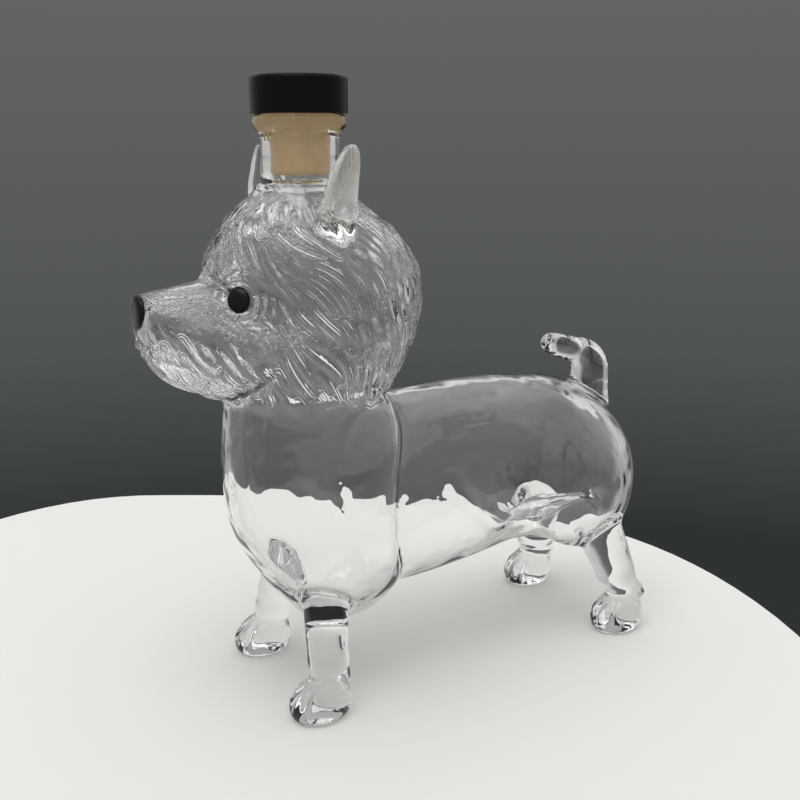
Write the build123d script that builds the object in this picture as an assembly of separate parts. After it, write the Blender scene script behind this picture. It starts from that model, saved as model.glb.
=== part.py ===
from build123d import *
import math
import os

# Figural liquor decanter: a standing terrier of clear lampworked glass, hollow in head, chest and
# trunk, with a bottle neck on top of the head and a T-shaped stopper in it.
# Millimetres. +Z is up, the dog faces -X and its left side is -Y. The soles stand on z = 0,
# and the origin is on that plane, under the middle of the object's box.

# Levels above the table
shoulder_level = 171.0        # top of the head, where the straight neck begins
throat_level = 103.0          # seam between head and chest
chest_floor_level = 22.5      # lowest point of the chest bulb

# Reaches from the neck's axis
muzzle_reach = 54.7           # to the front of the muzzle
rump_reach = 132.0            # to the back of the trunk

# Glass
wall = 2.2                    # blown wall of head, chest and trunk

# Neck and lip
neck_diameter = 25.0
bore_diameter = 19.5
neck_length = 14.6            # straight glass between the head and the lip bead
lip_diameter = 29.3
lip_height = 4.8
lip_rounding = 2.0

# Head bulb
head_length = 70.0
head_width = 66.0
throat_length = 53.0
throat_width = 51.0
throat_setback = -0.9
muzzle_width = 50.0           # at its root, inside the cheeks
muzzle_height = 40.0
muzzle_level = 124.0          # middle of the muzzle's root

# Chest bulb
chest_length = 61.4
chest_width = 60.0

# Trunk bulb
trunk_height = 69.0
trunk_width = 54.0            # over the thighs
trunk_level = 66.0            # middle of the trunk where it leaves the chest
trunk_start = 6.0             # behind the neck's axis, inside the chest

# Ears, solid leaves of glass
ear_length = 12.0             # from front edge to back edge
ear_thickness = 5.4
ear_tip_level = 181.6
ear_root_depth = 22.0         # how far down the leaf starts, under the shoulder
ear_inset = 9.0               # from the head's widest side in to the ear's root
ear_lean = 8.5                # the tip stands this far outside the root
ear_setback = -1.0            # behind the neck's axis

# Legs, solid rods that end in a paw with a flat sole
leg_track = 51.6              # between the middles of the left and right soles
paw_length = 21.0
paw_width = 17.0
paw_height = 12.5
paw_lead = 3.6                # the paw stands this far in front of its ankle
front_left_foot_setback = -5.6     # middle of the ankle, from the neck's axis
front_right_foot_setback = -4.4
front_ankle_diameter = 13.2
front_leg_diameter = 15.4     # at its root
front_root_setback = -2.0
front_root_spread = 30.0
front_root_level = 42.0
rear_left_foot_setback = 120.4
rear_right_foot_setback = 116.6
rear_ankle_diameter = 14.0
rear_leg_diameter = 22.0
rear_root_setback = 108.0
rear_root_spread = 28.0
rear_root_level = 52.0

# Tail, a solid rod that rises and curls forward
tail_setback = 119.8          # middle of the rod, from the neck's axis
tail_root_level = 82.0
tail_diameter = 14.4
tail_bend_level = 96.5
tail_bend_radius = 8.0
tail_bend_angle = 72.0        # degrees
tail_tip_length = 18.0        # straight run after the bend

# Eyes and nose, beads of black glass
eye_diameter = 8.4
eye_proud = 1.5
eye_level = 137.3
eye_inset = 7.2               # behind the front of the head's largest outline
nose_width = 7.8
nose_height = 9.2
nose_proud = 0.5
nose_depth = 1.0              # sunk into the muzzle
nose_level = 133.4

# Stopper
cap_diameter = 30.0
cap_height = 11.4
cap_rounding = 1.6
plug_clearance = 0.05         # radial, between plug and bore
plug_seal_length = 8.0        # full diameter, under the cap
plug_length = 17.6            # from the cap down to its end
plug_nose_diameter = 18.7
plug_taper = 1.2              # cone between the two diameters
plug_end_rounding = 0.8
spigot_diameter = 14.0        # the cork's top end, glued into the cap
spigot_height = 6.0
glue_gap = 0.05

ring_points = 16              # points round each outline

# Outline tables. Each row is one outline of a bulb.
# Head: share of the height from throat to shoulder, then length and width as shares of the
# largest, and how far the outline's middle lies behind the neck's axis, as a share of the length.
head_shares = [
    (0.04, 0.790, 0.800, 0.000),
    (0.12, 0.850, 0.860, 0.020),
    (0.24, 0.925, 0.930, 0.041),
    (0.37, 0.985, 0.982, 0.046),
    (0.50, 1.000, 1.000, 0.044),
    (0.632, 0.936, 0.960, 0.038),
    (0.691, 0.883, 0.905, 0.030),
    (0.757, 0.797, 0.815, 0.020),
    (0.809, 0.697, 0.720, 0.012),
    (0.868, 0.557, 0.591, -0.002),
    (0.904, 0.497, 0.525, 0.0),
    (0.941, 0.431, 0.458, 0.0),
    (0.971, 0.383, 0.406, 0.0),
]
# Muzzle: share of the reach in front of the neck's axis, width and height as shares of the root's,
# and the rise of the outline's middle as a share of the root's height.
muzzle_shares = [
    (0.30, 0.96, 0.930, -0.020),
    (0.45, 0.96, 0.940, -0.022),
    (0.58, 0.84, 0.920, -0.016),
    (0.70, 0.68, 0.830, 0.008),
    (0.80, 0.55, 0.730, 0.036),
    (0.88, 0.46, 0.630, 0.070),
    (0.94, 0.38, 0.520, 0.110),
    (0.98, 0.29, 0.400, 0.160),
    (1.00, 0.20, 0.290, 0.210),
]
# Chest: share of the height from floor to throat, length, width, and setback over the length.
chest_shares = [
    (0.000, 0.130, 0.130, 0.140),
    (0.012, 0.280, 0.280, 0.140),
    (0.040, 0.450, 0.450, 0.144),
    (0.100, 0.620, 0.620, 0.154),
    (0.223, 0.831, 0.840, 0.135),
    (0.330, 0.915, 0.920, 0.095),
    (0.414, 0.958, 0.960, 0.062),
    (0.540, 0.990, 0.990, 0.044),
    (0.669, 1.000, 1.000, 0.038),
    (0.800, 0.990, 0.990, 0.038),
    (0.890, 0.950, 0.950, 0.026),
    (0.950, 0.900, 0.900, 0.006),
]
# Trunk: share of the way from its start to the rump, width and height as shares of the largest,
# the rise of the outline's middle as a share of the largest height, the depth of the groove
# between the thighs as a share of the outline's half height, and how square the lower half is:
# 2 is round, and more fills the thighs out.
trunk_shares = [
    (0.000, 0.704, 0.884, -0.022, 0.00, 2.0),
    (0.060, 0.766, 0.940, -0.025, 0.00, 2.0),
    (0.120, 0.820, 0.978, -0.027, 0.00, 2.0),
    (0.180, 0.853, 0.997, -0.027, 0.00, 2.0),
    (0.240, 0.870, 1.000, -0.024, 0.00, 2.0),
    (0.300, 0.873, 0.998, -0.017, 0.00, 2.0),
    (0.360, 0.872, 0.990, -0.010, 0.00, 2.0),
    (0.420, 0.870, 0.977, -0.002, 0.00, 2.0),
    (0.480, 0.872, 0.959, 0.007, 0.00, 2.0),
    (0.540, 0.880, 0.934, 0.016, 0.00, 2.0),
    (0.600, 0.896, 0.912, 0.018, 0.04, 2.2),
    (0.655, 0.924, 0.912, 0.007, 0.22, 2.8),
    (0.704, 0.955, 0.938, -0.016, 0.44, 3.4),
    (0.762, 0.986, 0.950, -0.043, 0.52, 3.8),
    (0.820, 1.000, 0.907, -0.061, 0.50, 3.8),
    (0.872, 0.978, 0.830, -0.073, 0.46, 3.5),
    (0.916, 0.908, 0.730, -0.090, 0.38, 3.1),
    (0.954, 0.771, 0.575, -0.103, 0.26, 2.7),
    (0.982, 0.565, 0.390, -0.111, 0.12, 2.3),
    (0.997, 0.290, 0.180, -0.116, 0.00, 2.0),
]
groove_spread_share = 0.38    # half width of that groove, over the outline's half width
# Paw: share of its height, length and width as shares of the paw's, and share of its lead.
paw_shares = [
    (0.00, 0.82, 0.78, 1.0),
    (0.10, 0.92, 0.90, 1.0),
    (0.26, 0.99, 0.98, 1.0),
    (0.45, 1.00, 1.00, 1.0),
    (0.64, 0.94, 0.96, 0.9),
    (0.82, 0.80, 0.87, 0.6),
]
# Ear: share of the way from root to tip, length, thickness, and setback as a share of the length.
ear_shares = [
    (0.00, 0.78, 1.20, 0.100),
    (0.15, 0.86, 1.14, 0.070),
    (0.30, 0.95, 1.08, 0.030),
    (0.42, 0.98, 1.02, 0.020),
    (0.54, 0.95, 0.98, 0.030),
    (0.66, 0.86, 0.94, 0.060),
    (0.78, 0.73, 0.88, 0.110),
    (0.88, 0.60, 0.78, 0.150),
    (0.95, 0.46, 0.62, 0.170),
    (1.00, 0.22, 0.32, 0.180),
]
# Tail: share of its whole run, and the rod's diameter as a share of the tail's.
tail_shares = [
    (0.00, 1.10),
    (0.12, 1.04),
    (0.24, 1.00),
    (0.36, 0.97),
    (0.46, 0.88),
    (0.55, 0.76),
    (0.64, 0.67),
    (0.73, 0.63),
    (0.82, 0.60),
    (0.90, 0.56),
    (0.96, 0.46),
    (0.99, 0.30),
    (1.00, 0.14),
]
leg_steps = 8                 # outlines along a leg's rod

# Places worked out from the sizes above
nose_reach = muzzle_reach + nose_proud
neck_x = (nose_reach - rump_reach) / 2
muzzle_front_x = neck_x - muzzle_reach
lip_level = shoulder_level + neck_length
mouth_level = lip_level + lip_height
head_height = shoulder_level - throat_level
trunk_length = rump_reach - trunk_start
ear_root_spread = head_width - 2 * ear_inset
left = -1
right = 1

x_way = Vector(1, 0, 0)
y_way = Vector(0, 1, 0)
z_way = Vector(0, 0, 1)


def outline(middle, u, half_u, v, half_v, groove=0, square=2):
    """Closed smooth line round a middle, reaching half_u along u and half_v along v.

    Only the half below the middle has the groove, which pushes the line in at its lowest point by
    that share of half_v, and the squareness, the exponent of a superellipse.
    """
    points = []
    for step in range(ring_points):
        turn = 2 * math.pi * step / ring_points
        across = math.cos(turn)
        rise = math.sin(turn)
        if rise < 0:
            across = math.copysign(abs(across) ** (2 / square), across)
            rise = -abs(rise) ** (2 / square)
            rise *= 1 - groove * math.exp(-((across / groove_spread_share) ** 2))
        points.append(middle + u * (half_u * across) + v * (half_v * rise))
    return Wire([Edge.make_spline(points, periodic=True)])


def level_outline(x, y, z, length, width, inset=0):
    return outline(Vector(x, y, z), x_way, length / 2 - inset, y_way, width / 2 - inset)


def upright_outline(x, y, z, width, height, inset=0):
    return outline(Vector(x, y, z), y_way, width / 2 - inset, z_way, height / 2 - inset)


def bead(x, y, z, length, width, height):
    """Ellipsoid round a middle."""
    return Pos(x, y, z) * scale(Sphere(1), by=(length / 2, width / 2, height / 2))


def throat_outline(inset):
    return level_outline(neck_x + throat_setback, 0, throat_level, throat_length, throat_width, inset)


def head_form(inset, neck_bore):
    """Head and muzzle as one filled form. The inset makes the inside of the wall."""
    lines = [throat_outline(inset)]
    for height, length, width, setback in head_shares:
        x = neck_x + setback * head_length
        z = throat_level + height * head_height
        lines.append(level_outline(x, 0, z, length * head_length, width * head_width, inset))
    lines.append(level_outline(neck_x, 0, shoulder_level, neck_bore, neck_bore))
    skull = Solid.make_loft(lines)
    lines = []
    for reach, width, height, rise in muzzle_shares:
        x = neck_x - reach * (muzzle_reach - inset)
        z = muzzle_level + rise * muzzle_height
        lines.append(upright_outline(x, 0, z, width * muzzle_width, height * muzzle_height, inset))
    return skull + Solid.make_loft(lines)


def chest_form(inset):
    lines = []
    floor = chest_floor_level + inset
    for height, length, width, setback in chest_shares:
        x = neck_x + setback * chest_length
        z = floor + height * (throat_level - floor)
        lines.append(level_outline(x, 0, z, length * chest_length, width * chest_width, inset))
    lines.append(throat_outline(inset))
    return Solid.make_loft(lines)


def trunk_form(inset):
    """Trunk as one filled form: an egg whose rear end parts into two thighs below."""
    lines = []
    for way, width, height, rise, groove, square in trunk_shares:
        x = neck_x + trunk_start + way * (trunk_length - inset)
        z = trunk_level + rise * trunk_height
        half_width = width * trunk_width / 2 - inset
        half_height = height * trunk_height / 2 - inset
        groove *= (half_height + inset) / half_height
        lines.append(outline(Vector(x, 0, z), y_way, half_width, z_way, half_height, groove, square))
    return Solid.make_loft(lines)


def ear(side):
    root_level = shoulder_level - ear_root_depth
    lines = []
    for way, length, thickness, setback in ear_shares:
        x = neck_x + ear_setback + setback * ear_length
        y = side * (ear_root_spread / 2 + way * ear_lean)
        z = root_level + way * (ear_tip_level - root_level)
        lines.append(level_outline(x, y, z, length * ear_length, thickness * ear_thickness))
    return Solid.make_loft(lines)


def leg(side, foot_setback, ankle_diameter, root_setback, root_spread, root_level, root_diameter):
    """Paw and rod in one, reaching up into the bulb that carries it."""
    ankle_x = neck_x + foot_setback
    ankle_y = side * leg_track / 2
    lines = []
    for height, length, width, lead in paw_shares:
        x = ankle_x - lead * paw_lead
        lines.append(level_outline(x, ankle_y, height * paw_height, length * paw_length, width * paw_width))
    root_x = neck_x + root_setback
    root_y = side * root_spread / 2
    for step in range(leg_steps + 1):
        way = step / leg_steps
        x = ankle_x + way * (root_x - ankle_x)
        y = ankle_y + way * (root_y - ankle_y)
        z = paw_height + way * (root_level - paw_height)
        diameter = ankle_diameter + way * (root_diameter - ankle_diameter)
        lines.append(level_outline(x, y, z, diameter, diameter))
    return Solid.make_loft(lines)


def tail():
    """Thick rod that rises from the rump, bends forward on an arc and ends in a thinner curl."""
    rise = tail_bend_level - tail_root_level
    bend = math.radians(tail_bend_angle)
    arc = tail_bend_radius * bend
    run = rise + arc + tail_tip_length
    x = neck_x + tail_setback
    lines = []
    for share, thickness in tail_shares:
        way = share * run
        turn = min(max(way - rise, 0) / tail_bend_radius, bend)
        along = max(way - rise - arc, 0)
        middle = Vector(
            x - tail_bend_radius * (1 - math.cos(turn)) - along * math.sin(turn),
            0,
            tail_root_level + min(way, rise) + tail_bend_radius * math.sin(turn) + along * math.cos(turn),
        )
        radius = thickness * tail_diameter / 2
        across = x_way * math.cos(turn) + z_way * math.sin(turn)
        lines.append(outline(middle, across, radius, y_way, radius))
    return Solid.make_loft(lines)


def turned(points):
    """Solid turned round the neck's axis from an outline of (radius, level) points."""
    profile = make_face(Polyline(*[(radius, 0, level) for radius, level in points], close=True))
    return Pos(neck_x, 0, 0) * revolve(profile, Axis.Z)


pieces = {}

skin_of_head = head_form(0, neck_diameter)
skin_of_chest = chest_form(0)
skin_of_trunk = trunk_form(0)
hollow_of_trunk = trunk_form(wall)

pieces["head_bulb"] = skin_of_head - head_form(wall, bore_diameter)
pieces["chest_bulb"] = skin_of_chest - chest_form(wall) - hollow_of_trunk
pieces["trunk_bulb"] = skin_of_trunk - hollow_of_trunk - skin_of_chest
pieces["left_ear"] = ear(left) - skin_of_head
pieces["right_ear"] = ear(right) - skin_of_head

front_root = (front_root_setback, front_root_spread, front_root_level, front_leg_diameter)
rear_root = (rear_root_setback, rear_root_spread, rear_root_level, rear_leg_diameter)
for name, side, foot_setback, ankle_diameter, root in (
    ("front_left_leg", left, front_left_foot_setback, front_ankle_diameter, front_root),
    ("front_right_leg", right, front_right_foot_setback, front_ankle_diameter, front_root),
    ("rear_left_leg", left, rear_left_foot_setback, rear_ankle_diameter, rear_root),
    ("rear_right_leg", right, rear_right_foot_setback, rear_ankle_diameter, rear_root),
):
    pieces[name] = leg(side, foot_setback, ankle_diameter, *root) - skin_of_chest - skin_of_trunk

pieces["tail"] = tail() - skin_of_trunk

# Neck: a straight tube that ends in a rounded lip bead
tube = turned(
    [
        (bore_diameter / 2, shoulder_level),
        (neck_diameter / 2, shoulder_level),
        (neck_diameter / 2, lip_level),
        (lip_diameter / 2, lip_level),
        (lip_diameter / 2, mouth_level),
        (bore_diameter / 2, mouth_level),
    ]
)
lip_edges = tube.edges().filter_by(GeomType.CIRCLE).filter_by(lambda edge: edge.radius > neck_diameter / 2)
pieces["neck_tube"] = fillet(lip_edges, lip_rounding)

# Eyes: the caps of two spheres sunk into the face, standing proud of it by a named height
eye_sphere_radius = (eye_diameter**2 / 4 + eye_proud**2) / (2 * eye_proud)
eye_x = neck_x - head_length / 2 + eye_inset
for side, name in ((left, "left"), (right, "right")):
    sight = Axis((eye_x, 0, eye_level), (0, side, 0))
    seats = []
    for face in skin_of_head.faces():
        seats += [seat for seat in face.find_intersection_points(sight) if seat[0].Y * side > 0]
    seat, outward = max(seats, key=lambda found: abs(found[0].Y))
    centre = seat - outward * (eye_sphere_radius - eye_proud)
    pieces[f"{name}_eye"] = Pos(*centre) * Sphere(eye_sphere_radius) - skin_of_head

nose_length = nose_proud + nose_depth
nose_x = muzzle_front_x - nose_proud + nose_length / 2
pieces["nose"] = bead(nose_x, 0, nose_level, nose_length, nose_width, nose_height) - skin_of_head

# Stopper: a stepped cork whose top end is glued into the cap
seal_level = mouth_level - plug_seal_length
plug_end_level = mouth_level - plug_length
seal_diameter = bore_diameter - 2 * plug_clearance
plug = turned(
    [
        (0, plug_end_level),
        (plug_nose_diameter / 2, plug_end_level),
        (plug_nose_diameter / 2, seal_level - plug_taper),
        (seal_diameter / 2, seal_level),
        (seal_diameter / 2, mouth_level),
        (spigot_diameter / 2, mouth_level),
        (spigot_diameter / 2, mouth_level + spigot_height),
        (0, mouth_level + spigot_height),
    ]
)
pieces["stopper_plug"] = fillet(plug.edges().group_by(Axis.Z)[0], plug_end_rounding)

socket_radius = spigot_diameter / 2 + glue_gap
socket_level = mouth_level + spigot_height + glue_gap
cap = turned(
    [
        (socket_radius, mouth_level),
        (cap_diameter / 2, mouth_level),
        (cap_diameter / 2, mouth_level + cap_height),
        (0, mouth_level + cap_height),
        (0, socket_level),
        (socket_radius, socket_level),
    ]
)
pieces["stopper_cap"] = fillet(cap.edges().group_by(Axis.Z)[-1], cap_rounding)

os.makedirs("parts", exist_ok=True)
for name, piece in pieces.items():
    export_step(piece, f"parts/{name}.step")
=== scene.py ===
# %% [markdown]
# A figural decanter: a small terrier of clear blown glass with a bottle neck on its head.
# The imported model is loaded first, as a fixed frame. It holds the bulbs, legs, ears, tail, neck,
# eyes, nose and stopper at their real size, and every later cell takes its places from it.
# All lengths are in metres. The dog faces -X and its left side is -Y.

# %% Load the frame
import math
import random

import bmesh
import bpy
import numpy as np
from mathutils import Matrix, Vector, noise
from mathutils.bvhtree import BVHTree


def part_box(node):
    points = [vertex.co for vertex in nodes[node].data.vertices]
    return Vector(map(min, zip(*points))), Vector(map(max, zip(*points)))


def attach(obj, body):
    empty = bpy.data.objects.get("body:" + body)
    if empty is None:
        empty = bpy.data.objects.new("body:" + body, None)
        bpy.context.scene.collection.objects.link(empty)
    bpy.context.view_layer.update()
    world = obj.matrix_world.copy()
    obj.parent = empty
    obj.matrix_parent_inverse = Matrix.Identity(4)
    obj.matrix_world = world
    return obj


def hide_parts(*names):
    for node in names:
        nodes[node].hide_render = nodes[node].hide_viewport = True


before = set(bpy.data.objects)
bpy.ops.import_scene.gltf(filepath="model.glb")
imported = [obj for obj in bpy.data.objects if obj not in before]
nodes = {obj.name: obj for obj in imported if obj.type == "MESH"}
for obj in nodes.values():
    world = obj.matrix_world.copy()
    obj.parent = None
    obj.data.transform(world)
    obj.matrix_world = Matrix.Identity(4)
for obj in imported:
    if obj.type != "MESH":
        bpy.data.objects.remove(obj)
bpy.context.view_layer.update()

# %% [markdown]
# Node trees are written in Python here, for shapes and for materials alike. They could be drawn by
# hand in the editor, but a script can be read and run again. One small function adds a node, sets
# or links its inputs and hands back one of its outputs, so a tree reads like a sum.

# %% Helpers for node trees
MM = 0.001


def node(tree, kind, inputs=None, output=0, **settings):
    """Add a node. Inputs are numbers or the outputs of other nodes, by name or place."""
    made = tree.nodes.new(kind)
    for name, value in settings.items():
        setattr(made, name, value)
    for key, value in (inputs or {}).items():
        if isinstance(value, bpy.types.NodeSocket):
            tree.links.new(value, made.inputs[key])
        else:
            made.inputs[key].default_value = value
    return made.outputs[output]


def maths(tree, operation, *values):
    """One step of arithmetic on numbers or outputs."""
    return node(tree, "ShaderNodeMath", dict(enumerate(values)), operation=operation)


# %% [markdown]
# A geometry tree gets named inputs, so that one tree can be used again with other sizes. It works
# on an object as a modifier. What comes out is taken off as a plain mesh, and the modifier goes.

# %% Helpers for geometry trees
def kind_of(value):
    """The kind of input that takes a value: an object for None, a whole number or a number."""
    if value is None:
        return "NodeSocketObject"
    return "NodeSocketInt" if isinstance(value, int) else "NodeSocketFloat"


def shape_tree(name, **inputs):
    """A geometry tree with named inputs. Returns the tree, its inputs by name and its result's socket."""
    tree = bpy.data.node_groups.new(name, "GeometryNodeTree")
    tree.interface.new_socket("Geometry", in_out="INPUT", socket_type="NodeSocketGeometry")
    for label, value in inputs.items():
        socket = tree.interface.new_socket(label, in_out="INPUT", socket_type=kind_of(value))
        if value is not None:
            socket.default_value = value
    tree.interface.new_socket("Geometry", in_out="OUTPUT", socket_type="NodeSocketGeometry")
    given = tree.nodes.new("NodeGroupInput").outputs
    return tree, given, tree.nodes.new("NodeGroupOutput").inputs[0]


def grown(thing, tree, **values):
    """What a geometry tree makes of an object, as a plain mesh."""
    modifier = thing.modifiers.new(tree.name, "NODES")
    modifier.node_group = tree
    for item in tree.interface.items_tree:
        if item.in_out == "INPUT" and item.name in values:
            modifier[item.identifier] = values[item.name]
    graph = bpy.context.evaluated_depsgraph_get()
    found = thing.evaluated_get(graph)
    mesh = bpy.data.meshes.new_from_object(found, preserve_all_data_layers=True, depsgraph=graph)
    thing.modifiers.remove(modifier)
    return mesh


# %% [markdown]
# Every piece stays at the origin, unturned and unscaled, with its place in its mesh. A few small
# functions do what all pieces need: show a mesh, close a shape that was built by hand, read the
# points of a mesh as an array, and make a tree that finds the nearest place on a piece.

# %% Helpers for pieces
def put(name, mesh):
    """An object at the origin that shows a mesh."""
    thing = bpy.data.objects.new(name, mesh)
    bpy.context.scene.collection.objects.link(thing)
    return thing


def put_shape(name, shape, soft=True):
    """An object from a shape built by hand, with its faces turned outwards."""
    for face in shape.faces:
        face.smooth = soft
    bmesh.ops.recalc_face_normals(shape, faces=shape.faces)
    mesh = bpy.data.meshes.new(name)
    shape.to_mesh(mesh)
    shape.free()
    return put(name, mesh)


def points_of(mesh):
    """The places of a mesh's vertices, one row each."""
    places = np.empty(len(mesh.vertices) * 3, np.float32)
    mesh.vertices.foreach_get("co", places)
    return places.reshape(-1, 3).astype(float)


def search_tree(thing):
    """A tree that finds places on an object's surface."""
    return BVHTree.FromObject(thing, bpy.context.evaluated_depsgraph_get())


# %% [markdown]
# The real bottle is blown in parts and then fused over a flame, so its glass is one skin with no
# joints inside it. Eleven closed solids side by side would show every joint as a mirror. They
# could be joined by a boolean, but that leaves sharp seams. Here the solids become a signed
# distance grid, the grid is swollen by the joint's radius and shrunk back, and what comes out is
# one closed skin, outside and cavity, with a soft fillet at every joint.

# %% The fusing tree
glass_nodes = [
    "head_bulb", "neck_tube", "left_ear", "right_ear", "chest_bulb", "trunk_bulb", "tail",
    "front_left_leg", "front_right_leg", "rear_left_leg", "rear_right_leg",
]
joint_radius = 2.0 * MM
fine_pitch = 0.6 * MM
skin_pitch = 1.7 * MM
coarse_cover = 0.5 * MM                 # left on the coarse skin so that no thin wall opens up
grid_band = 6                           # cells that the grid keeps on each side of the surface


def fusing_tree():
    tree, given, result = shape_tree(
        "fuse", **{"Swell": joint_radius, "Shrink": joint_radius, "Fine pitch": fine_pitch,
                   "Skin pitch": skin_pitch, "Band": grid_band}
    )
    solids = node(tree, "GeometryNodeMeshToSDFGrid", {
        "Mesh": given["Geometry"], "Voxel Size": given["Fine pitch"], "Band Width": given["Band"]})
    swollen = node(tree, "GeometryNodeGridToMesh", {"Grid": solids, "Threshold": given["Swell"]})
    again = node(tree, "GeometryNodeMeshToSDFGrid", {
        "Mesh": swollen, "Voxel Size": given["Skin pitch"], "Band Width": given["Band"]})
    shrink = maths(tree, "MULTIPLY", given["Shrink"], -1.0)
    shrunk = node(tree, "GeometryNodeGridToMesh", {"Grid": again, "Threshold": shrink})
    tree.links.new(shrunk, result)
    return tree


fuse = fusing_tree()
print("fusing tree:", len(fuse.nodes), "nodes")

# %% [markdown]
# The tree runs twice. The first skin is fine and true, and is only a guide. The second one has
# larger faces and becomes the piece itself. A closed skin whose only hollow opens at the mouth has
# no handles, and counting them shows at once whether a thin wall has broken through.

# %% Fuse the glass
soup = bmesh.new()
for name in glass_nodes:
    soup.from_mesh(nodes[name].data)
solids_mesh = bpy.data.meshes.new("solids")
soup.to_mesh(solids_mesh)
soup.free()
solids = put("solids", solids_mesh)
fine_skin = put("fine_skin", grown(solids, fuse, **{"Skin pitch": fine_pitch}))
skin = put("skin", grown(solids, fuse, **{"Shrink": joint_radius - coarse_cover}))
bpy.data.objects.remove(solids)
for thing in (fine_skin, skin):
    handles = 1 - (len(thing.data.vertices) - len(thing.data.polygons)) // 2
    print(thing.name, len(thing.data.polygons), "faces, handles:", handles)

# %% [markdown]
# The skin has two sides. The mould shapes the outside, and only air touches the cavity, so the two
# are finished differently. They meet at the lip. A walk over the mesh that starts at the soles and
# never crosses the lip reaches all of the outside and nothing of the cavity.

# %% Tell the outside from the cavity
neck_low, neck_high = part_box("neck_tube")
neck_axis = Vector(((neck_low.x + neck_high.x) / 2, 0, 0))
neck_radius = (neck_high.x - neck_low.x) / 2
lip_inside = 11.5 * MM                  # the walk stops inside this radius
lip_band = 4.0 * MM                     # and above this depth under the mouth


def on_lip(vertex):
    return vertex.co.z > neck_high.z - lip_band and (vertex.co.xy - neck_axis.xy).length < lip_inside


def outside_of(shape):
    """The vertices of the outside, as a set."""
    start = min(shape.verts, key=lambda vertex: vertex.co.z)
    reached, edge_of_walk = {start}, [start]
    while edge_of_walk:
        vertex = edge_of_walk.pop()
        for edge in vertex.link_edges:
            other = edge.other_vert(vertex)
            if other not in reached and not on_lip(other):
                reached.add(other)
                edge_of_walk.append(other)
    return reached


print("neck radius:", round(neck_radius, 4), "the walk stops inside", lip_inside)

# %% [markdown]
# Fur, ears, tail, paws and lip carry small forms, and the plain bulbs don't. A fine mesh all over
# would be slow to work with, so only those places get one, and the finest lies round the eyes.
# The boxes of the frame's own pieces say where that is.

# %% Which places are fine
fine_boxes = [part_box(name) for name in ("head_bulb", "neck_tube", "left_ear", "right_ear", "tail")]
eye_boxes = [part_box("left_eye"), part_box("right_eye")]
eye_margin = 6.0 * MM
paw_top = 14 * MM


def in_box(place, low, high, margin=0.0):
    return all(low[i] - margin <= place[i] <= high[i] + margin for i in range(3))


def is_fine(place):
    return place.z < paw_top or any(in_box(place, *box) for box in fine_boxes)


def is_finest(place):
    return any(in_box(place, *box, eye_margin) for box in eye_boxes)


print("fine places:", len(fine_boxes), "boxes and the paws up to", paw_top)

# %% [markdown]
# Faces in those places are cut in four, and again round the eyes, and all vertices drop onto the
# fine skin. The cavity keeps its large faces, which saves half the triangles. Each vertex of the
# outside is marked, so that later relief leaves the cavity smooth.

# %% Refine the outside
def refine(shape, wanted):
    """Cut the outside's faces in four wherever the wanted test holds for their middle."""
    outside = outside_of(shape)
    faces = [face for face in shape.faces
             if all(vertex in outside for vertex in face.verts) and wanted(face.calc_center_median())]
    edges = {edge for face in faces for edge in face.edges}
    bmesh.ops.subdivide_edges(shape, edges=list(edges), cuts=1, use_grid_fill=True)


fine_tree = search_tree(fine_skin)
shape = bmesh.new()
shape.from_mesh(skin.data)
for wanted in (is_fine, is_finest):
    refine(shape, wanted)
for vertex in shape.verts:
    vertex.co = fine_tree.find_nearest(vertex.co)[0]
outside_layer = shape.verts.layers.float.new("outside")
for vertex in outside_of(shape):
    vertex[outside_layer] = 1.0
bmesh.ops.recalc_face_normals(shape, faces=shape.faces)
shape.to_mesh(skin.data)
print("refined skin:", sum(len(face.verts) - 2 for face in shape.faces), "triangles")
shape.free()
bpy.data.objects.remove(fine_skin)

# %% [markdown]
# Meshing on a grid leaves faint terraces, which clear glass would show as ripples. Plain smoothing
# would thin the legs. Smoothing in two steps doesn't: each round moves every vertex towards the
# middle of its neighbours, and then slightly further back.

# %% Smooth the terraces away
smoothing_rounds = 14
inward_step, outward_step = 0.50, -0.53


def smooth(mesh, rounds):
    ends = np.array([edge.vertices[:] for edge in mesh.edges])
    places = points_of(mesh)
    links = np.bincount(ends.ravel(), minlength=len(places))[:, None]
    for step in [inward_step, outward_step] * rounds:
        total = np.zeros_like(places)
        for axis in range(3):
            total[:, axis] = (np.bincount(ends[:, 0], places[ends[:, 1], axis], len(places))
                              + np.bincount(ends[:, 1], places[ends[:, 0], axis], len(places)))
        places += step * (total / links - places)
    mesh.vertices.foreach_set("co", places.ravel())
    mesh.update()


smooth(skin.data, smoothing_rounds)
for face in skin.data.polygons:
    face.use_smooth = True
print("smoothed in", smoothing_rounds, "rounds")

# %% [markdown]
# All the relief is made one way: a set of lines lies on the skin, and a node tree raises the skin
# along each line or sinks it, with a rounded profile across the line. Where two neighbours meet, a
# crisp crease stays between them, as between two locks of fur in the mould. On the skin the tree
# also leaves the distance to the nearest line, for the glass to read.

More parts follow.
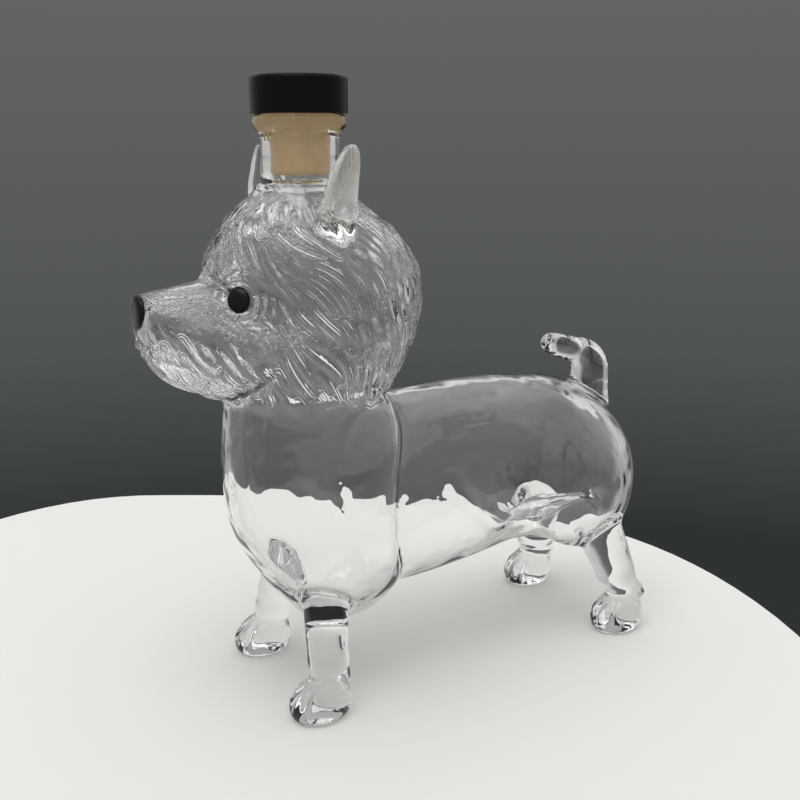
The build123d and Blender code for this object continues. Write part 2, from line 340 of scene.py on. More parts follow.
# %% The relief tree
def relief_tree():
    tree, given, result = shape_tree(
        "relief", Lines=None, Height=0.5 * MM, **{"Half width": 2.0 * MM, "Softness": 1.0})
    lines = node(tree, "GeometryNodeObjectInfo", {"Object": given["Lines"]}, output="Geometry")
    near = tree.nodes.new("GeometryNodeProximity")
    near.target_element = "EDGES"
    tree.links.new(lines, near.inputs[0])
    share = maths(tree, "DIVIDE", near.outputs["Distance"], given["Half width"])
    bulge = maths(tree, "MAXIMUM", maths(tree, "SUBTRACT", 1.0, maths(tree, "POWER", share, 2.0)), 0.0)
    profile = maths(tree, "POWER", bulge, given["Softness"])
    nearest = node(tree, "GeometryNodeSampleNearest",
                   {"Geometry": lines, "Sample Position": near.outputs["Position"]}, domain="POINT")
    strength = node(tree, "GeometryNodeInputNamedAttribute", {"Name": "strength"}, data_type="FLOAT")
    taper = node(tree, "GeometryNodeSampleIndex", {"Geometry": lines, "Value": strength, "Index": nearest},
                 data_type="FLOAT", domain="POINT")
    outside = node(tree, "GeometryNodeInputNamedAttribute", {"Name": "outside"}, data_type="FLOAT")
    height = maths(tree, "MULTIPLY", maths(tree, "MULTIPLY", profile, taper),
                   maths(tree, "MULTIPLY", given["Height"], outside))
    normal = node(tree, "GeometryNodeInputNormal")
    offset = node(tree, "ShaderNodeVectorMath", {0: normal, "Scale": height}, operation="SCALE")
    kept = node(tree, "GeometryNodeStoreNamedAttribute",
                {"Geometry": given["Geometry"], "Name": "line_distance", "Value": near.outputs["Distance"]},
                data_type="FLOAT", domain="POINT")
    tree.links.new(node(tree, "GeometryNodeSetPosition", {"Geometry": kept, "Offset": offset}), result)
    return tree


relief = relief_tree()
print("relief tree:", len(relief.nodes), "nodes")

# %% [markdown]
# A line is a list of places with a strength at each, so that it can start and end thin, as a lock
# or a crease does. Its places are found on the smooth skin, before any relief.

# %% Helpers for relief
skin_tree = search_tree(skin)


def on_skin(place):
    """The nearest place on the skin and the outward way there."""
    found, outward, _, _ = skin_tree.find_nearest(place)
    return found, outward


def tapered(places, margin=0.03, power=0.6, strength=1.0):
    """A line that is full in the middle and fades to both ends.

    The margin leaves a little strength at the ends, and a low power makes the full part longer.
    """
    last = len(places) - 1
    return [(place, strength * math.sin(math.pi * (margin + (1 - 2 * margin) * i / last)) ** power)
            for i, place in enumerate(places)]


def raise_lines(what, lines, height, half_width, softness=1.0):
    """Raise the skin along lines, each a list of (place, strength). A negative height sinks it."""
    mesh = bpy.data.meshes.new("lines")
    edges, start = [], 0
    for line in lines:
        edges += [(start + i, start + i + 1) for i in range(len(line) - 1)]
        start += len(line)
    mesh.from_pydata([place for line in lines for place, _ in line], edges, [])
    strength = mesh.attributes.new("strength", "FLOAT", "POINT")
    strength.data.foreach_set("value", [value for line in lines for _, value in line])
    marks = put("lines", mesh)
    old = skin.data
    skin.data = grown(skin, relief, **{"Lines": marks, "Height": height, "Half width": half_width,
                                       "Softness": softness})
    bpy.data.meshes.remove(old)
    bpy.data.objects.remove(marks)
    print(what, "lines:", len(lines))


# %% [markdown]
# Round each eye the mould has a socket, in which the bead of black glass sits, and lids that run
# round it as rings, the outer ones only over its back and top. They could be sculpted by hand, but
# then both eyes would have to be done alike. Here a ring is a circle in the plane that touches the
# face at the eye, dropped onto the skin, and one list of radii serves both eyes.

# %% Eye sockets and lids
eye_drop = 1.3 * MM                     # the bead sits this far under its solid's middle
eye_middles = [(low + high) / 2 - Vector((0, 0, eye_drop)) for low, high in eye_boxes]
socket_radius, socket_depth, socket_softness = 5.2 * MM, 1.3 * MM, 0.5
lid_height, lid_half_width, lid_steps = 0.9 * MM, 1.1 * MM, 48
# Radius of each lid, and where it starts and ends, in degrees from the back of the head upwards.
lids = [(5.6 * MM, 0, 360), (8.1 * MM, -80, 165), (8.1 * MM, 190, 290), (10.8 * MM, -55, 125)]
dot_length = 0.1 * MM                   # a line needs two places, also where it marks a point


def eye_frame(middle):
    """Seat on the skin, outward way, and the ways to the back of the head and up, along the face."""
    seat, outward = on_skin(middle)
    back = (Vector((1, 0, 0)) - outward * outward.x).normalized()
    up = (Vector((0, 0, 1)) - outward * outward.z - back * back.z).normalized()
    return seat, outward, back, up


sockets, rings = [], []
for middle in eye_middles:
    seat, outward, back, up = eye_frame(middle)
    sockets.append([(seat, 1.0), (seat + dot_length * back, 1.0)])
    for radius, start, end in lids:
        angles = np.radians(np.linspace(start, end, lid_steps))
        places = [on_skin(seat + radius * (math.cos(a) * back + math.sin(a) * up))[0] for a in angles]
        rings.append([(place, 1.0) for place in places] if end - start == 360 else tapered(places))
raise_lines("eye socket", sockets, -socket_depth, socket_radius, socket_softness)
raise_lines("eyelid", rings, lid_height, lid_half_width)

# %% [markdown]
# In front of the left thigh the blown trunk has a soft fold, where the glassworker drew it in. A
# sculpting brush would make one too. A broad, shallow line down the flank, sunk into the skin, does
# the same, and it can be moved by changing a few numbers.

# %% Fold in the flank
# Places in millimetres, and the strength at each.
fold = [(4, -31, 81), (5, -31, 73), (10, -29, 64), (17, -26, 56), (26, -22, 49), (35, -20, 47)]
fold_strengths = [0.2, 0.8, 1, 1, 0.8, 0.2]
fold_depth, fold_half_width = 0.8 * MM, 4.5 * MM
fold_line = [(on_skin(Vector(place) * MM)[0], value) for place, value in zip(fold, fold_strengths)]
raise_lines("fold", [fold_line], -fold_depth, fold_half_width)

# %% [markdown]
# The mouth is a crease from under the nose back along both cheeks, with the upper lip as a soft
# ridge above it. A boolean cut would leave hard edges that moulded glass never has, so it is a sunk
# line as well. A few places along one side are enough: the other side is their mirror image, and
# both are dropped onto the skin in small steps.

# %% Mouth
mouth = [(-92.5, 0, 121.5), (-90.5, 5, 120.8), (-86, 9, 119), (-79, 12, 116), (-71, 15, 113),
         (-64, 18, 111)]                # in millimetres, on the right side
mouth_depth, lip_height = 0.7 * MM, 0.5 * MM
lip_rise = 2.6 * MM                     # of the ridge above the crease
mouth_half_width = 1.4 * MM
steps_between = 6


def along_mouth(rise):
    half = [Vector(place) * MM for place in mouth]
    half = [Vector((p.x, p.y, p.z + rise)) for p in half]
    whole = [Vector((p.x, -p.y, p.z)) for p in half[:0:-1]] + half
    fine = []
    for start, end in zip(whole, whole[1:]):
        fine += [on_skin(start.lerp(end, i / steps_between))[0] for i in range(steps_between)]
    return tapered(fine)


raise_lines("mouth", [along_mouth(0)], -mouth_depth, mouth_half_width)
raise_lines("lip", [along_mouth(lip_rise)], lip_height, mouth_half_width)

# %% [markdown]
# Where the neck was drawn out of the head, it keeps a few fine rings, which catch the light under
# the cork. Lower down, the head's edge overhangs the chest in scallops, where the fur stops. Rings
# could be turned with the neck, but here the skin is already one mesh, and a closed line round the
# neck's axis reaches it anywhere. For the scallops only the strength along the line varies.

# %% Neck rings and lower edge
head_low, head_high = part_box("head_bulb")
ring_rises = [-1.6 * MM, 0.4 * MM, 2.0 * MM, 3.6 * MM, 5.2 * MM]        # above the foot of the neck
ring_height, ring_half_width = 0.45 * MM, 0.8 * MM
edge_rise, edge_radius = 1.5 * MM, 28 * MM           # above the seam of head and chest
edge_height, edge_half_width = 1.1 * MM, 2.4 * MM
scallops, scallop_middle, scallop_swing = 17, 0.6, 0.4
round_steps = 120


def round_axis(radius, height, strength=lambda turn: 1.0):
    """A closed line round the neck's axis, on the skin."""
    line = []
    for i in range(round_steps + 1):
        turn = 2 * math.pi * i / round_steps
        place = Vector((neck_axis.x + radius * math.cos(turn), radius * math.sin(turn), height))
        line.append((on_skin(place)[0], strength(turn)))
    return line


raise_lines("neck ring", [round_axis(neck_radius, neck_low.z + rise) for rise in ring_rises],
            ring_height, ring_half_width)
scalloped = round_axis(edge_radius, head_low.z + edge_rise,
                       lambda turn: scallop_middle + scallop_swing * math.sin(scallops * turn))
raise_lines("lower edge", [scalloped], edge_height, edge_half_width)

# %% [markdown]
# Each paw is a round lump of glass that was pressed with a blade while soft, which left three dents
# between the toes. Toes could be four small balls, but pressed glass has no gaps under it. So the
# dents are sunk, and each runs from the table up and over the front of the paw.

# %% Toes
toe_turns = (-38, 0, 38)                             # degrees off straight ahead
toe_depth, toe_half_width = 0.7 * MM, 1.4 * MM
paw_middle_level, paw_reach = 4 * MM, 12 * MM        # where the dents' arcs are centred, and how wide
dent_top, dent_steps = 60, 12                        # degrees above level, and places on the way


def toes(name):
    paw = [v.co for v in nodes[name].data.vertices if v.co.z < paw_top / 2]
    middle = Vector((sum(p.x for p in paw) / len(paw), sum(p.y for p in paw) / len(paw), paw_middle_level))
    dents = []
    for turn in toe_turns:
        a = math.radians(turn)
        ahead = Vector((-math.cos(a), math.sin(a), 0))
        climb = np.radians(np.linspace(0, dent_top, dent_steps))
        ways = [math.cos(e) * ahead + math.sin(e) * Vector((0, 0, 1)) for e in climb]
        dents.append(tapered([on_skin(middle + paw_reach * way)[0] for way in ways]))
    return dents


legs = [name for name in glass_nodes if name.endswith("leg")]
raise_lines("toe", [dent for name in legs for dent in toes(name)], -toe_depth, toe_half_width)

# %% [markdown]
# The fur was cut into the mould as locks that flow from the face: away from the neck on the crown,
# back and down over the cheeks, and straight down at the nape. They could be drawn one by one, but
# a rule for the way the fur lies at any place is shorter and covers the far side too. A little
# noise turns the flow, so that the locks swirl.

# %% The way the fur lies
face_lean = 0.95                        # how far the fur leans back on the face, against 1 down
nape_loss, nape_band = 0.75, (-45 * MM, -12 * MM)    # what is lost of it towards the nape, along X
jaw_loss, jaw_band = 0.45, (-128 * MM, -108 * MM)    # and down over the jaw, along -Z
crown_level, crown_fade, crown_drop = 152 * MM, 12 * MM, 0.6     # up here it turns away from the neck
swirl_turn, swirl_size = 0.5, 14 * MM   # radians, and the width of a swirl


def ramp(value, low, high):
    """0 below low, 1 above high, smooth between."""
    share = min(max((value - low) / (high - low), 0.0), 1.0)
    return share * share * (3 - 2 * share)


def flow(place, outward):
    """The way the fur lies at a place."""
    lean = face_lean - nape_loss * ramp(place.x, *nape_band) - jaw_loss * ramp(-place.z, *jaw_band)
    away = (place - neck_axis).xy.normalized()
    side = Vector((lean, 0, -1))
    top = Vector((away.x, away.y, -crown_drop))
    way = side.lerp(top, ramp(place.z, crown_level, crown_level + crown_fade))
    way = way - outward * way.dot(outward)
    swirl = swirl_turn * noise.noise(place / swirl_size)
    return (Matrix.Rotation(swirl, 3, outward) @ way).normalized()


# %% [markdown]
# Fur covers the head, but not the lids, the bridge of the muzzle, or the glass next to the neck. A
# painted mask would do for one head. A few levels and distances say the same in words, and all
# places of the smooth skin that pass the test are where a lock may start.

# %% Where there is fur
hem_gap, neck_gap = 1.5 * MM, 6 * MM    # bare glass above the seam, and under the neck
bare_eye = 8.5 * MM                     # radius round an eye without fur
muzzle_root = eye_middles[0].x - 5 * MM
bridge_level, bridge_slope = 123 * MM, 0.45          # at the front of the head, and its rise backwards


def has_fur(place):
    if place.z < head_low.z + hem_gap or place.z > neck_low.z - neck_gap:
        return False
    if min((place - eye).length for eye in eye_middles) < bare_eye:
        return False
    bridge = bridge_level + bridge_slope * (place.x - head_low.x)
    return not (place.x < muzzle_root and place.z > bridge)


outside_values = skin.data.attributes["outside"].data
fur_starts = [vertex.co.copy() for vertex, outside in zip(skin.data.vertices, outside_values)
              if outside.value > 0.5 and in_box(vertex.co, head_low, head_high) and has_fur(vertex.co)]
print("places with fur:", len(fur_starts))

# %% [markdown]
# Each lock is a short walk over the skin along the flow. It ends where it would run into a
# neighbour, so that every lock keeps its own strip of glass. Places that are taken are kept in the
# cells of a coarse grid, so that this test only looks at those nearby.

# %% Walk along the fur
fur_step = 0.8 * MM
fur_gap = 2.5 * MM                      # least distance between two locks


def cell(place):
    return tuple(math.floor(v / fur_gap) for v in place)


def crowded(place, taken):
    x, y, z = cell(place)
    return any((place - other).length < fur_gap
               for i in (-1, 0, 1) for j in (-1, 0, 1) for k in (-1, 0, 1)
               for other in taken.get((x + i, y + j, z + k), ()))


def walk(place, sense, reach, taken):
    """Places from a start along the flow, until the reach, the fur's edge or a neighbour ends them."""
    arm = []
    while len(arm) * fur_step < reach:
        place, outward = on_skin(place)
        if crowded(place, taken) or not has_fur(place):
            break
        arm.append(place)
        place = place + flow(place, outward) * sense * fur_step
    return arm


# %% [markdown]
# Hair particles could stand for fur, but this fur is a form of the glass and has no single hairs.
# Locks are tried from random starts with a fixed seed, so that the same head comes out each time.
# A lock runs a little way up and further down from its start, and one that finds no room is
# dropped. Lengths and strengths vary, as they do where a mould is cut by hand.

# %% Comb the fur
fur_seed = 7
fur_tries = 6000
lock_lengths = (9 * MM, 24 * MM)
least_share = 0.6                       # of the shortest length, below which a lock is dropped
walks = ((-1, 0.4), (1, 0.6))           # sense of each walk, and its share of the length
lock_margin, lock_power = 0.04, 0.7     # how a lock tapers
lock_strengths = (0.65, 1.15)
lock_height, lock_half_width = 1.2 * MM, 1.7 * MM


def comb(starts):
    random.seed(fur_seed)
    taken, locks = {}, []
    for start in random.sample(starts, min(fur_tries, len(starts))):
        length = random.uniform(*lock_lengths)
        up, down = (walk(start, sense, length * share, taken) for sense, share in walks)
        path = up[::-1] + down[1:]
        if not up or len(path) * fur_step < lock_lengths[0] * least_share:
            continue
        for place in path:
            taken.setdefault(cell(place), []).append(place)
        locks.append(tapered(path, lock_margin, lock_power, random.uniform(*lock_strengths)))
    return locks


raise_lines("fur", comb(fur_starts), lock_height, lock_half_width)

# %% [markdown]
# The picture is taken from the dog's front left, a little above its back. A camera can be set by
# eye, but then sizes can't be compared. This one's place and lens were worked out from the soles,
# the tips of the ears and the stopper.

# %% Camera
camera_place = (-0.1747, -0.2996, 0.1858)
camera_dip, camera_heading = 14.74, -29.85           # degrees below level, and round the vertical
camera_lens, camera_sensor = 46.35, 36.0             # in millimetres
camera = bpy.data.objects.new("camera", bpy.data.cameras.new("camera"))
bpy.context.scene.collection.objects.link(camera)
camera.location = camera_place
camera.rotation_euler = [math.radians(turn) for turn in (90 - camera_dip, 0, camera_heading)]
camera.data.lens = camera_lens
camera.data.sensor_width = camera_sensor
bpy.context.scene.camera = camera
print("camera at", camera_place)

# %% [markdown]
# The decanter stands on a pale table with softened corners. The table is a stage and not a part of
# the object. Its outline could be drawn with curves, but a few corners that are cut again and again
# at a quarter of their sides come out round as well.

# %% Floor
floor_corners = [(-0.077, 0.230), (0.010, 0.184), (0.124, 0.100), (0.155, 0.010), (0.125, -0.100),
                 (0.030, -0.220), (-0.150, -0.270), (-0.290, -0.180), (-0.310, 0.010), (-0.190, 0.170)]
floor_thickness = 12 * MM
softening_rounds, cut_share = 3, 0.25


def softened(corners):
    """The closed outline with each corner cut off."""
    cut = []
    for one, two in zip(corners, corners[1:] + corners[:1]):
        for share in (cut_share, 1 - cut_share):
            cut.append(tuple((1 - share) * a + share * b for a, b in zip(one, two)))
    return cut


def table_floor(corners):
    for _ in range(softening_rounds):
        corners = softened(corners)
    shape = bmesh.new()
    top = shape.faces.new([shape.verts.new((x, y, 0)) for x, y in reversed(corners)])
    made = bmesh.ops.extrude_face_region(shape, geom=[top])["geom"]
    lower = [item for item in made if isinstance(item, bmesh.types.BMVert)]
    bmesh.ops.translate(shape, verts=lower, vec=(0, 0, -floor_thickness))
    return put_shape("floor", shape, soft=False)


floor = table_floor(floor_corners)
print("floor:", len(floor.data.vertices) // 2, "corners")

# %% [markdown]
# Pictures could be wrapped round the pieces, but they show seams and blur from close by. So the
# finishes are built from nodes. They read Object coordinates and stay with the piece when it moves.
# Noise makes them uneven, and bump nodes can be chained, each on top of the last.

# %% Helpers for finishes
def material(name, **settings):
    """A named material and its shader, with the shader's plain inputs set."""
    made = bpy.data.materials.new(name)
    made.use_nodes = True
    shader = made.node_tree.nodes["Principled BSDF"]
    for key, value in settings.items():
        shader.inputs[key.replace("_", " ")].default_value = value
    return made, shader


def wear(thing, finish):
    thing.data.materials.clear()
    thing.data.materials.append(finish)
    print(thing.name, "wears", finish.name)


def object_noise(tree, scale, detail=2.0, stretch=None):
    """Noise on Object coordinates, whose scale is in bumps per metre. Stretch is a scale for each axis."""
    place = node(tree, "ShaderNodeTexCoord", output="Object")
    if stretch:
        place = node(tree, "ShaderNodeMapping", {"Vector": place, "Scale": stretch})
    return node(tree, "ShaderNodeTexNoise", {"Vector": place, "Scale": scale, "Detail": detail})


def bump(tree, height, distance, below=None):
    inputs = {"Height": height, "Distance": distance}
    if below is not None:
        inputs["Normal"] = below
    return node(tree, "ShaderNodeBump", inputs)


paper, _ = material("pale floor", Base_Color=(0.80, 0.80, 0.78, 1), Roughness=0.75)
wear(floor, paper)

# %% [markdown]
# The ear was drawn from the gather with pincers, which left fine grooves and a frosted face, and
# the bridge of the muzzle has the mould's wrinkles. The glass has to know where these places are,
# so each is marked on the skin as an attribute between 0 and 1: near the ear's solid on its outer
# face, and near a line from the nose to under the eye, on both cheeks.

# %% Marks on the skin
ear_reach = 0.9 * MM
ear_fade = (157 * MM, 170 * MM)         # levels between which the frost grows
face_fade = (0.1, 0.6)                  # how far outwards a face points for none and for all
wrinkle_reach = 4.0 * MM
wrinkled_line = [(-91, 3, 139), (-84, 8, 138), (-77, 11, 136), (-71, 14, 133), (-67, 18, 129),
                 (-60, 22, 127), (-54, 25, 127)]
steps_on_line = 8


def frost_at(vertex):
    if vertex.co.z < ear_fade[0] or ear_tree.find_nearest(vertex.co, ear_reach)[0] is None:
        return 0.0
    outer = ramp(-vertex.normal.y, *face_fade)       # the left ear's outer face looks to -Y
    return outer * ramp(vertex.co.z, *ear_fade)


def distance_to_line(places, line):
    """The distance of each place to the line, with the left side folded onto the right one."""
    fine = np.concatenate([np.linspace(a, b, steps_on_line) for a, b in zip(line, line[1:])])
    folded = np.column_stack([places[:, 0], np.abs(places[:, 1]), places[:, 2]])
    apart = folded[:, None, :].astype(np.float32) - fine[None].astype(np.float32)
    return np.min(np.linalg.norm(apart, axis=2), axis=1)


def mark(mesh, name, values):
    layer = mesh.attributes.new(name, "FLOAT", "POINT")
    layer.data.foreach_set("value", np.asarray(values, np.float32))
    print("marked", name, "on", int(np.sum(np.asarray(values) > 0.5)), "vertices")


ear_tree = search_tree(nodes["left_ear"])
mark(skin.data, "frost", [frost_at(vertex) for vertex in skin.data.vertices])
gap = distance_to_line(points_of(skin.data), np.array(wrinkled_line) * MM)
mark(skin.data, "wrinkle", np.exp(-(gap / wrinkle_reach) ** 2))

# %% [markdown]
# Between the creases of the fur the mould has much finer strands. They are too fine for the mesh,
# so they are bumps: waves of the distance to the nearest lock's line, which the relief tree left on
# the skin. That way they run beside each lock, wherever it turns. Noise lets them come and go.

# %% Strands in the fur
strand_pitch, strand_height, strand_reach = 0.8 * MM, 0.09 * MM, 2.2 * MM
patch_scale, patch_range = 70.0, (0.42, 0.62)


def marked(tree, name):
    return node(tree, "ShaderNodeAttribute", output="Fac", attribute_name=name)


def strands(tree, below):
    """Fine strands that run beside each lock of fur, in patches."""
    distance = marked(tree, "line_distance")
    waves = maths(tree, "COSINE", maths(tree, "MULTIPLY", distance, 2 * math.pi / strand_pitch))
    in_fur = maths(tree, "LESS_THAN", distance, strand_reach)
    patchy = node(tree, "ShaderNodeMapRange", {"Value": object_noise(tree, patch_scale, 1.0),
                                               "From Min": patch_range[0], "From Max": patch_range[1]})
    return bump(tree, maths(tree, "MULTIPLY", waves, maths(tree, "MULTIPLY", in_fur, patchy)),
                strand_height, below)


# %% [markdown]
# Clear glass is a transmission shader with no roughness. Blown glass is never quite even, so a slow
# waviness lies under everything. On it come the strands, then the wrinkles and the grooves of the
# ear. They could be one sum of heights, but a chain of bump nodes keeps each in its own measure. A
# share of the ear is a plain diffuse white, because a frosted face scatters what a clear one lets
# through.

# %% Clear glass
wave_scale, wave_height = 95.0, 0.35 * MM
wrinkle_scale, wrinkle_height = 750.0, 1.6 * MM
groove_scale, groove_stretch, groove_height = 1700.0, (1.0, 1.0, 0.07), 0.5 * MM
frost_roughness, frost_scatter = 0.3, 0.55


def clear_glass():
    made, shader = material("clear glass", Base_Color=(0.985, 0.99, 0.988, 1), Roughness=0.0, IOR=1.5,
                            Transmission_Weight=1.0)
    tree = made.node_tree
    normal = strands(tree, bump(tree, object_noise(tree, wave_scale, 1.0), wave_height))
    wrinkles = maths(tree, "MULTIPLY", object_noise(tree, wrinkle_scale, 2.0), marked(tree, "wrinkle"))
    normal = bump(tree, wrinkles, wrinkle_height, normal)
    frost = marked(tree, "frost")
    grooves = maths(tree, "MULTIPLY", object_noise(tree, groove_scale, 3.0, groove_stretch), frost)
    tree.links.new(bump(tree, grooves, groove_height, normal), shader.inputs["Normal"])
    tree.links.new(maths(tree, "MULTIPLY", frost, frost_roughness), shader.inputs["Roughness"])
    milk = node(tree, "ShaderNodeBsdfDiffuse", {"Color": (0.85, 0.82, 0.77, 1)})
    milky = node(tree, "ShaderNodeMixShader",
                 {0: maths(tree, "MULTIPLY", grooves, frost_scatter), 1: shader.outputs[0], 2: milk})
    tree.links.new(milky, tree.nodes["Material Output"].inputs["Surface"])
    return made


wear(skin, clear_glass())

# %% [markdown]
# Eyes and nose are drops of black glass, melted on. A matt black would look like paint, and a full
# mirror would turn grey in a bright room. A low specular level on a slightly rough surface keeps
# the drops black and leaves them one small highlight.

# %% Black glass
drop_scale, drop_height = 300.0, 0.1 * MM            # of the slight unevenness of the drops


def black_glass():
    made, shader = material("black glass", Base_Color=(0.004, 0.004, 0.004, 1), Roughness=0.12, IOR=1.5,
                            Specular_IOR_Level=0.15)
    tree = made.node_tree
    tree.links.new(bump(tree, object_noise(tree, drop_scale), drop_height), shader.inputs["Normal"])
    return made


dark = black_glass()


def fused_on(made, name):
    """A piece of black glass that rides on the bottle and takes its solid's place."""
    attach(made, "bottle")
    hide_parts(name)
    wear(made, dark)


# %% [markdown]
# The nose is a thin pad that wraps round the tip of the muzzle. A flat disc would stand off the
# curved glass. So rays are cast at the muzzle from all round its tip, in rings and spokes, and the
# pad's two faces lie just above and just below the places that they hit.

# %% Pad of the nose
pad_centre = Vector((6.5 * MM, 0, 0.8 * MM))         # from the middle of the nose's solid
pad_wide, pad_tall = math.radians(52), math.radians(44)
pad_thick, pad_reach = 0.35 * MM, 30 * MM
pad_rings, pad_spokes, rim_power = 10, 40, 6


def pad_rows(middle, tree, side):
    """One face of the pad, row by row from its middle to its rim. Side is 1 above the glass, -1 below."""
    rows = []
    for ring in range(pad_rings + 1):
        part = ring / pad_rings
        row = []
        for spoke in range(pad_spokes if ring else 1):
            turn = 2 * math.pi * spoke / pad_spokes
            away = part / math.hypot(math.cos(turn) / pad_wide, math.sin(turn) / pad_tall)
            across, above = math.sin(away) * math.cos(turn), math.sin(away) * math.sin(turn)
            way = Vector((-math.cos(away), across, above))
            place, normal, _, _ = tree.ray_cast(middle + way * pad_reach, -way)
            lift = pad_thick * (1 - part ** rim_power) if side > 0 else -pad_thick
            row.append(place + normal * lift)
        rows.append(row)
    return rows


def pad_side(shape, middle, tree, side):
    """Vertices and faces of one side of the pad. Returns its rows of vertices."""
    rows = [[shape.verts.new(place) for place in row] for row in pad_rows(middle, tree, side)]
    for one, two in zip(rows, rows[1:]):
        for spoke in range(pad_spokes):
            last = (spoke + 1) % pad_spokes
            corners = [one[spoke % len(one)], two[spoke], two[last]]
            if len(one) > 1:
                corners.append(one[last])
            shape.faces.new(corners[::side])
    return rows


def nose_pad(middle):
    """A closed pad on the tip of the muzzle."""
    tree = search_tree(skin)
    shape = bmesh.new()
    outer, inner = (pad_side(shape, middle, tree, side)[-1] for side in (1, -1))
    for spoke in range(pad_spokes):
        last = (spoke + 1) % pad_spokes
        shape.faces.new([outer[last], outer[spoke], inner[spoke], inner[last]])
    return put_shape("nose_pad", shape)


nose_low, nose_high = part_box("nose")
pad = nose_pad((nose_low + nose_high) / 2 + pad_centre)
fused_on(pad, "nose")
print("pad of the nose:", len(pad.data.polygons), "faces")

# %% [markdown]
# Each eye is a flat bead, a little taller than wide. A plain sphere would bulge too far out of the
# face. So it is squashed to the lie of the face, with a shallow front and a deeper back that sits in
# the socket.

# %% Beads of the eyes
bead_wide, bead_tall = 3.45 * MM, 4.15 * MM          # radii along the face and up
bead_front, bead_back = 1.5 * MM, 2.0 * MM
bead_segments, bead_rings = 48, 24


def bead(name, middle):
    seat, outward, back, up = eye_frame(middle)
    top = max((vertex.co - middle).dot(outward) for vertex in nodes[name].data.vertices)
    shape = bmesh.new()
    bmesh.ops.create_uvsphere(shape, u_segments=bead_segments, v_segments=bead_rings, radius=1.0)
    for vertex in shape.verts:
        x, y, z = vertex.co
        depth = top - bead_front + z * (bead_front if z > 0 else bead_back)
        vertex.co = middle + outward * depth + bead_wide * x * back + bead_tall * y * up
    return put_shape(name + "_bead", shape)


for name, middle in zip(("left_eye", "right_eye"), eye_middles):
    made = bead(name, middle)
    fused_on(made, name)
    print(made.name, len(made.data.polygons), "faces")

# %% [markdown]
# The stopper's own solids are already right, so they only get a finish. The cap is turned from
# black plastic, with a satin top. The plug is a moulded synthetic cork: beige, matt and mottled.

# %% Cap and cork
satin_scale, satin_least, satin_spread = 400.0, 0.16, 0.15
mottle_scale = 220.0
pore_scale, pore_height = 900.0, 0.1 * MM


def black_plastic():
    made, shader = material("black plastic", Base_Color=(0.004, 0.0045, 0.004, 1), IOR=1.45,
                            Specular_IOR_Level=0.08)
    tree = made.node_tree
    varied = maths(tree, "MULTIPLY", object_noise(tree, satin_scale, 4.0), satin_spread)
    tree.links.new(maths(tree, "ADD", varied, satin_least), shader.inputs["Roughness"])
    return made


def cork():
    made, shader = material("synthetic cork", Roughness=0.7)
    tree = made.node_tree
    mottles = object_noise(tree, mottle_scale, 5.0)
    colours = node(tree, "ShaderNodeMix", {0: mottles, 6: (0.74, 0.46, 0.19, 1), 7: (0.90, 0.66, 0.33, 1)},
                   output=2, data_type="RGBA")
    tree.links.new(colours, shader.inputs["Base Color"])
    tree.links.new(bump(tree, object_noise(tree, pore_scale, 3.0), pore_height), shader.inputs["Normal"])
    return made


wear(nodes["stopper_cap"], black_plastic())
wear(nodes["stopper_plug"], cork())

# %% [markdown]
# Clear glass shows nothing but what is round it. Real walls could be built for it to show, but a
# world made of nodes does it with a few ramps over the direction of each ray. Two helpers make
# them: one gives colours along a value, and one gives a value's share of the way between two others.

# %% Helpers for the world
def colour_ramp(tree, value, stops):
    made = tree.nodes.new("ShaderNodeValToRGB")
    tree.links.new(value, made.inputs[0])
    while len(made.color_ramp.elements) < len(stops):
        made.color_ramp.elements.new(0.5)
    for element, (position, colour) in zip(made.color_ramp.elements, stops):
        element.position = position
        element.color = (*colour, 1)
    return made.outputs[0]


def between(tree, value, low, high, **ends):
    """A value's share of the way from low to high."""
    ends = {key.replace("_", " "): end for key, end in ends.items()}
    return node(tree, "ShaderNodeMapRange", {"Value": value, "From Min": low, "From Max": high, **ends})


# %% [markdown]
# Behind the decanter is a dark grey wall, darker towards the table, and on all other sides a pale
# room with a brighter ceiling. The wall fills the picture and ends just outside it, so every bend
# in the glass picks up the pale room, which draws the rims and the fur in light lines.

# %% Wall, room and ceiling
wall_stops = [(0.14, (0.028, 0.033, 0.032)), (0.30, (0.080, 0.088, 0.086)), (0.62, (0.125, 0.132, 0.125))]
room_stops = [(0.2, (0.39, 0.39, 0.38)), (0.9, (0.70, 0.70, 0.69))]
stops_start = 0.5                       # is added to a ray's rise, so that 0.5 is level
wall_side, wall_full = 0.83, 0.91       # cosines of the turn from the camera's heading
wall_top, wall_head = 0.30, 0.15        # rises above which there is no wall, and below which all is
ceiling_start, ceiling_full, ceiling_strength = 0.74, 0.79, 1.8

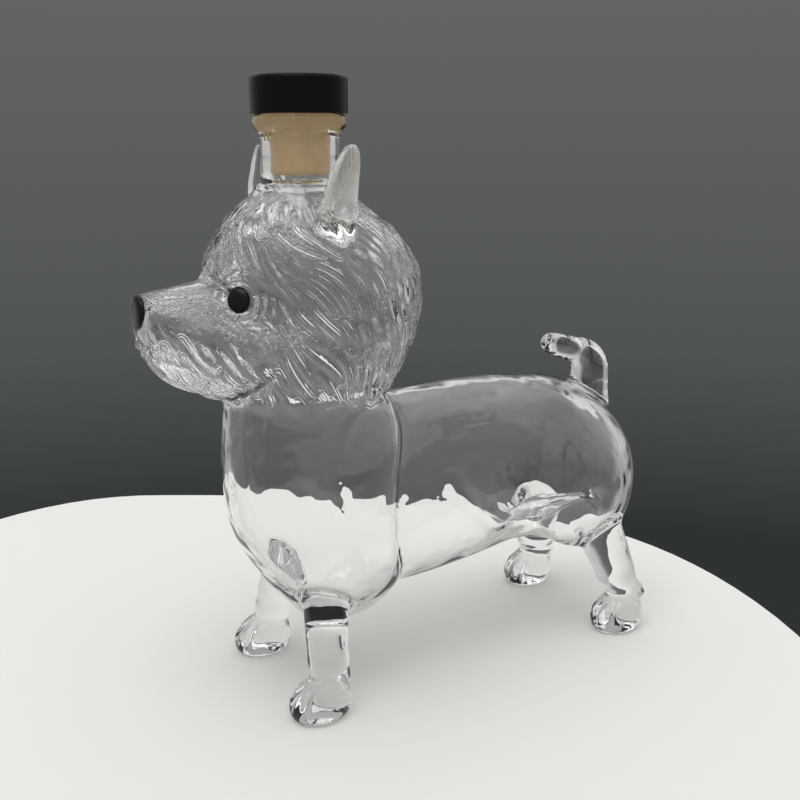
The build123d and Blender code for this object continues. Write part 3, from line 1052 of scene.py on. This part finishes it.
world = bpy.data.worlds.new("studio")
bpy.context.scene.world = world
world.use_nodes = True
tree = world.node_tree
background = tree.nodes["Background"]
way = node(tree, "ShaderNodeTexCoord", output="Generated")
rise = node(tree, "ShaderNodeSeparateXYZ", {0: way}, output=2)
level_way = node(tree, "ShaderNodeVectorMath", {0: way, 1: (1, 1, 0)}, operation="MULTIPLY")
level_way = node(tree, "ShaderNodeVectorMath", {0: level_way}, operation="NORMALIZE")
heading = math.radians(camera_heading)
ahead = node(tree, "ShaderNodeVectorMath", {0: level_way, 1: (-math.sin(heading), math.cos(heading), 0)},
             output="Value", operation="DOT_PRODUCT")
on_wall = maths(tree, "MULTIPLY", between(tree, ahead, wall_side, wall_full),
                between(tree, rise, wall_top, wall_head))
level = maths(tree, "ADD", rise, stops_start)
seen = node(tree, "ShaderNodeMix", {0: on_wall, 6: colour_ramp(tree, level, room_stops),
                                    7: colour_ramp(tree, level, wall_stops)}, output=2, data_type="RGBA")
tree.links.new(seen, background.inputs["Color"])
tree.links.new(between(tree, rise, ceiling_start, ceiling_full, To_Min=1.0, To_Max=ceiling_strength),
               background.inputs["Strength"])
print("world:", len(tree.nodes), "nodes")

# %% [markdown]
# One soft lamp high on the left gives the small highlights on beads, cap and lip, and a faint
# shadow on the table. A sun would draw hard edges there, so the lamp is a wide rectangle.

# %% Lamp
lamp_place, lamp_aim = Vector((-0.25, -0.15, 1.0)), Vector((0, 0, 0.08))
lamp_size, lamp_power = (0.5, 0.35), 1.7
softbox = bpy.data.objects.new("softbox", bpy.data.lights.new("softbox", "AREA"))
bpy.context.scene.collection.objects.link(softbox)
softbox.data.shape = "RECTANGLE"
softbox.data.size, softbox.data.size_y = lamp_size
softbox.data.energy = lamp_power
softbox.location = lamp_place
softbox.rotation_euler = (lamp_aim - lamp_place).to_track_quat("-Z", "Y").to_euler()
bpy.context.scene.view_settings.view_transform = "Standard"
print("softbox of", lamp_power, "watts")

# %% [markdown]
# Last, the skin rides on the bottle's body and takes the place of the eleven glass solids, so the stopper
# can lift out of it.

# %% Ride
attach(skin, "bottle")
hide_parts(*glass_nodes)
